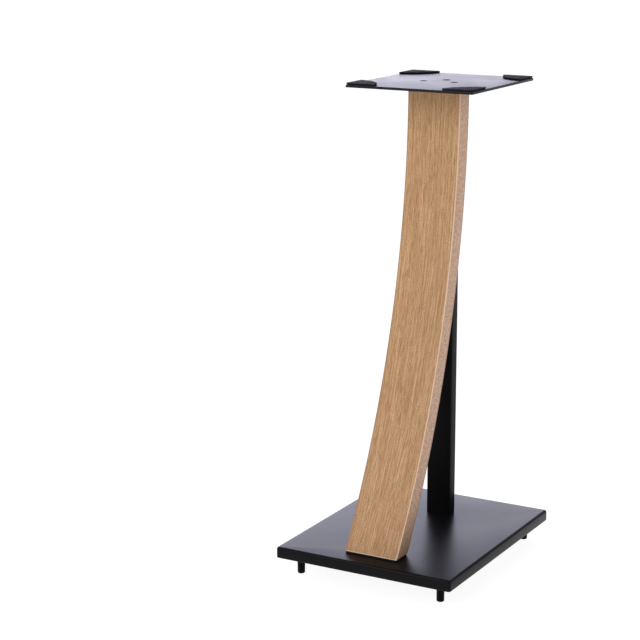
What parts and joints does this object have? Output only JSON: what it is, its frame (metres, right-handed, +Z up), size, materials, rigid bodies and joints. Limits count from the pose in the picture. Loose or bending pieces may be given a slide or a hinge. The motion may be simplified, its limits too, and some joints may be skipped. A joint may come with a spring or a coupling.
{
  "type": "speaker stand",
  "caption": "Floor stand for a bookshelf loudspeaker: curved oak pillar and black post on a black board with levelling feet, under a padded top plate.",
  "frame": {"origin": "on the floor, under the middle of the stand's whole outline, with the feet screwed fully in", "axes": "+Z up, -Y the front that the pillar's foot leans towards, +X to the right seen from the front"},
  "size_m": [0.252, 0.3104, 0.6348],
  "materials": {
    "base_lacquer": "satin black lacquer on fibreboard",
    "oak": "clear matt lacquer on oak veneer",
    "black_steel": "satin black powder coat",
    "black_screw": "black oxide",
    "zinc_steel": "zinc plated",
    "foot_plastic": "moulded black, fine grain",
    "pad_rubber": "matt black foam rubber",
    "spacer_rubber": "matt black"
  },
  "bodies": {
    "stand": {"base_board": "base_lacquer", "foot_inserts": "zinc_steel", "pillar": "oak", "pillar_foot_spacer": "spacer_rubber", "pillar_foot_inserts": "zinc_steel", "pillar_foot_washers": "zinc_steel", "pillar_foot_bolts": "zinc_steel", "support_post": "black_steel", "post_foot_plug": "black_steel", "post_head_plug": "black_steel", "post_foot_washer": "zinc_steel", "post_foot_bolt": "zinc_steel", "top_plate": "black_steel", "pillar_head_screws": "black_screw", "post_head_screw": "black_screw", "corner_pad_front_left": "pad_rubber", "corner_pad_front_right": "pad_rubber", "corner_pad_rear_left": "pad_rubber", "corner_pad_rear_right": "pad_rubber"},
    "front_left_foot": {"foot_front_left": "foot_plastic", "foot_stud_front_left": "zinc_steel"},
    "front_right_foot": {"foot_front_right": "foot_plastic", "foot_stud_front_right": "zinc_steel"},
    "rear_left_foot": {"foot_rear_left": "foot_plastic", "foot_stud_rear_left": "zinc_steel"},
    "rear_right_foot": {"foot_rear_right": "foot_plastic", "foot_stud_rear_right": "zinc_steel"}
  },
  "joints": [
    {"name": "front_left_foot_screw", "type": "slide", "parent": "stand", "child": "front_left_foot", "axis": [0, 0, 1], "range_m": [-0.006, 0]},
    {"name": "front_right_foot_screw", "type": "slide", "parent": "stand", "child": "front_right_foot", "axis": [0, 0, 1], "range_m": [-0.006, 0]},
    {"name": "rear_left_foot_screw", "type": "slide", "parent": "stand", "child": "rear_left_foot", "axis": [0, 0, 1], "range_m": [-0.006, 0]},
    {"name": "rear_right_foot_screw", "type": "slide", "parent": "stand", "child": "rear_right_foot", "axis": [0, 0, 1], "range_m": [-0.006, 0]}
  ]
}
